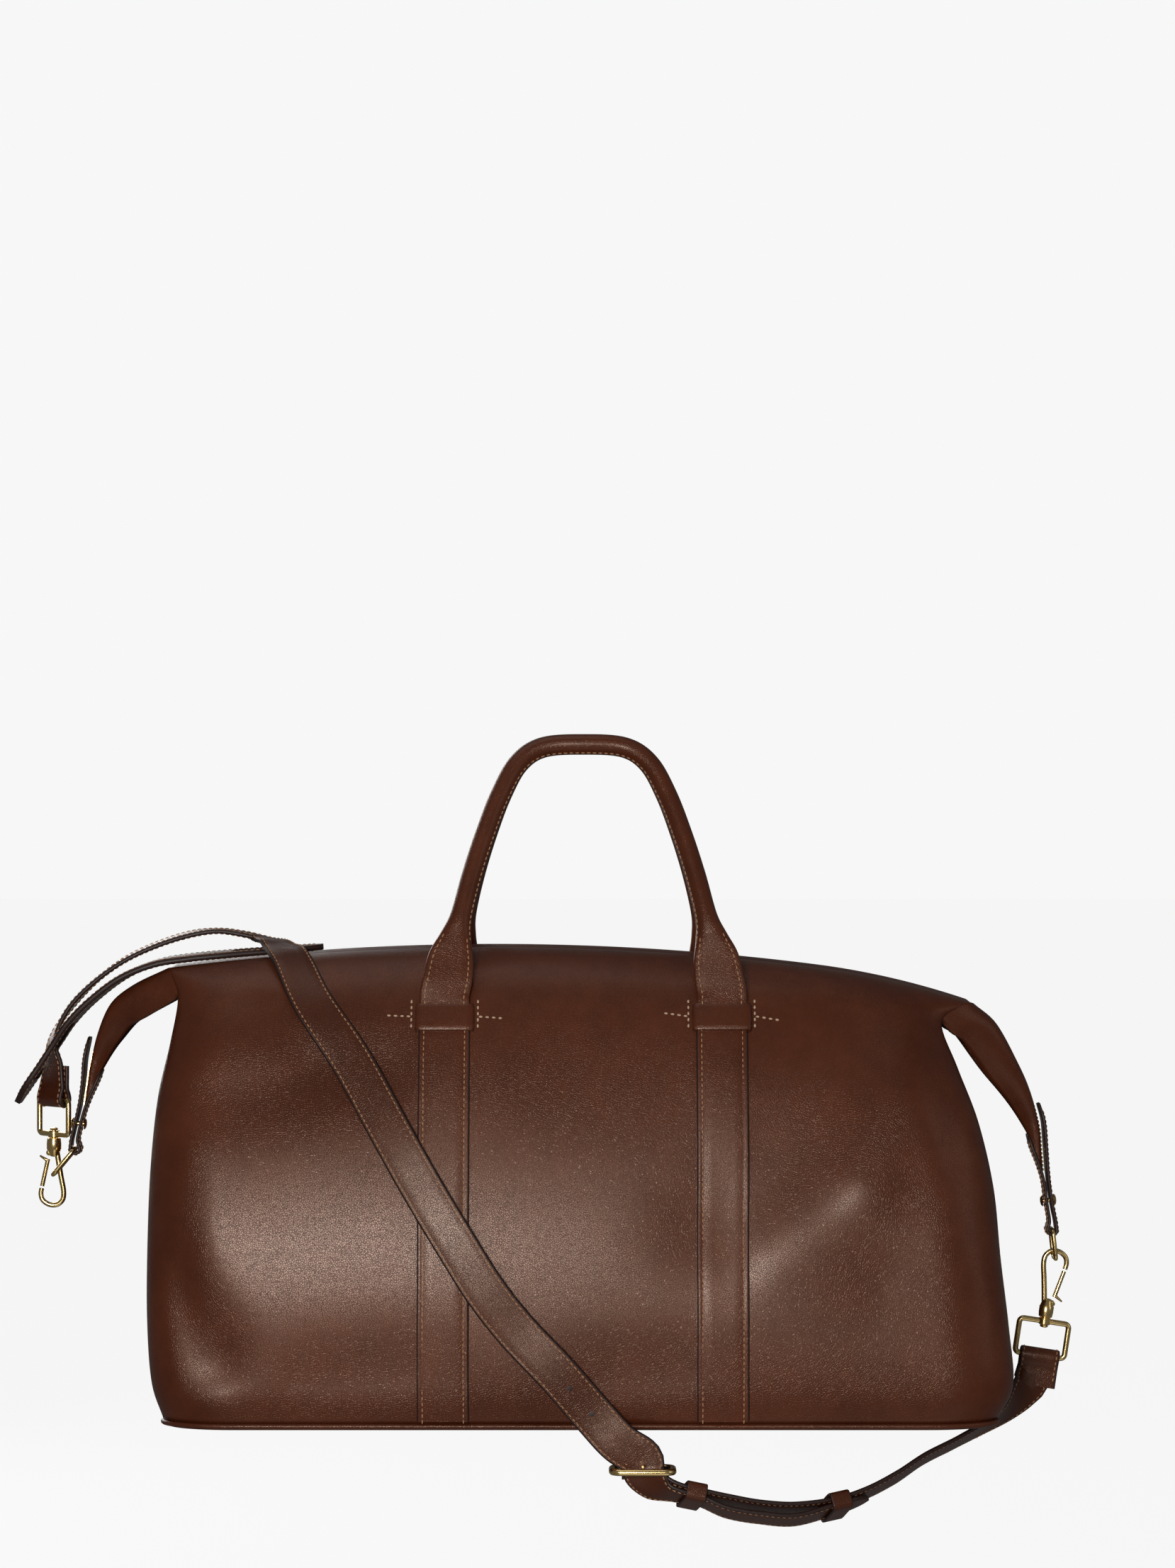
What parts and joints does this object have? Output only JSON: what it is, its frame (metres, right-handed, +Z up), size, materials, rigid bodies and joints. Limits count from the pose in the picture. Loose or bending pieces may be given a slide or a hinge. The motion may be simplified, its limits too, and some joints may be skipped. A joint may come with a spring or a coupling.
{
  "type": "weekender bag",
  "caption": "Soft leather travel bag with folded wings, rolled handles, a top zip and a clip-on shoulder strap with a pad, a buckle and swivel hooks.",
  "frame": {"origin": "the grip, midway between the tops of the two raised handles, where a hand holds the bag", "axes": "+X along the bag's length to the right seen from the front, +Y to the back, +Z up"},
  "size_m": [0.6844, 0.2583, 0.4997],
  "materials": {
    "body_leather": "smooth semi-gloss reddish brown, fine grain",
    "strap_leather": "smooth dark brown, stitched edges",
    "lining_cloth": "plain woven twill",
    "zip_cloth": "woven zip tape",
    "base_card": "stiff board",
    "gold_brass": "polished"
  },
  "bodies": {
    "bag": {"base_board": "base_card", "base_panel": "body_leather", "base_piping": "body_leather", "buckle_frame": "gold_brass", "front_left_band": "body_leather", "front_left_keeper": "body_leather", "front_panel": "body_leather", "front_right_band": "body_leather", "front_right_keeper": "body_leather", "left_end_panel": "body_leather", "left_link": "gold_brass", "left_ring": "gold_brass", "left_tab": "strap_leather", "left_tab_rivet": "gold_brass", "lining": "lining_cloth", "rear_left_band": "body_leather", "rear_left_keeper": "body_leather", "rear_panel": "body_leather", "rear_right_band": "body_leather", "rear_right_keeper": "body_leather", "right_end_panel": "body_leather", "right_link": "gold_brass", "right_ring": "gold_brass", "right_tab": "strap_leather", "right_tab_rivet": "gold_brass", "sewn_keeper": "strap_leather", "shoulder_pad": "strap_leather", "strap_long": "strap_leather", "strap_short": "strap_leather", "zip_chain": "gold_brass", "zip_tape_front": "zip_cloth", "zip_tape_rear": "zip_cloth"},
    "front_handle": {"front_handle": "body_leather"},
    "rear_handle": {"rear_handle": "body_leather"},
    "zip_slider": {"zip_slider": "gold_brass"},
    "zip_pull": {"zip_pull": "gold_brass"},
    "left_hook": {"left_hook": "gold_brass"},
    "right_hook": {"right_hook": "gold_brass"},
    "left_gate": {"left_gate": "gold_brass"},
    "right_gate": {"right_gate": "gold_brass"},
    "buckle_prong": {"buckle_prong": "gold_brass"},
    "loose_keeper": {"loose_keeper": "strap_leather"}
  },
  "joints": [
    {"name": "front_handle_swing", "type": "hinge", "parent": "bag", "child": "front_handle", "pos_m": [0, -0.0782, -0.162], "axis": [1, 0, 0], "range_deg": [0, 100]},
    {"name": "rear_handle_swing", "type": "hinge", "parent": "bag", "child": "rear_handle", "pos_m": [0, 0.0782, -0.162], "axis": [-1, 0, 0], "range_deg": [0, 100]},
    {"name": "left_hook_swivel", "type": "hinge", "parent": "bag", "child": "left_hook", "pos_m": [-0.3462, -0.001, -0.253], "axis": [0, 0, -1], "range_deg": [-15, 15]},
    {"name": "right_hook_swivel", "type": "hinge", "parent": "bag", "child": "right_hook", "pos_m": [0.2967, 0, -0.3745], "axis": [0.15, 0, 0.9887], "range_deg": [-15, 15]},
    {"name": "left_gate_pivot", "type": "hinge", "parent": "left_hook", "child": "left_gate", "pos_m": [-0.3501, -0.001, -0.2693], "axis": [0, -1, 0], "range_deg": [0, 12], "stiffness_Nm_per_rad": 0.02, "springref_deg": -17.19},
    {"name": "right_gate_pivot", "type": "hinge", "parent": "right_hook", "child": "right_gate", "pos_m": [0.303, 0, -0.35897], "axis": [0, -1, 0], "range_deg": [0, 20], "stiffness_Nm_per_rad": 0.02, "springref_deg": -17.19},
    {"name": "buckle_prong_lift", "type": "hinge", "parent": "bag", "child": "buckle_prong", "pos_m": [0.0344, -0.11, -0.4543], "axis": [-1, 0, 0], "range_deg": [0, 4]},
    {"name": "zip_travel", "type": "hinge", "parent": "bag", "child": "zip_slider", "pos_m": [-0.06, 0, -1.8312], "axis": [0, 1, 0], "range_deg": [-10.4, 0]},
    {"name": "zip_pull_swing", "type": "hinge", "parent": "zip_slider", "child": "zip_pull", "pos_m": [0.14834, 0, -0.14447], "axis": [0, -1, 0], "range_deg": [0, 90]},
    {"name": "keeper_slide", "type": "slide", "parent": "bag", "child": "loose_keeper", "axis": [0.9424, 0.2971, 0.1537], "range_m": [-0.003, 0.003]}
  ]
}
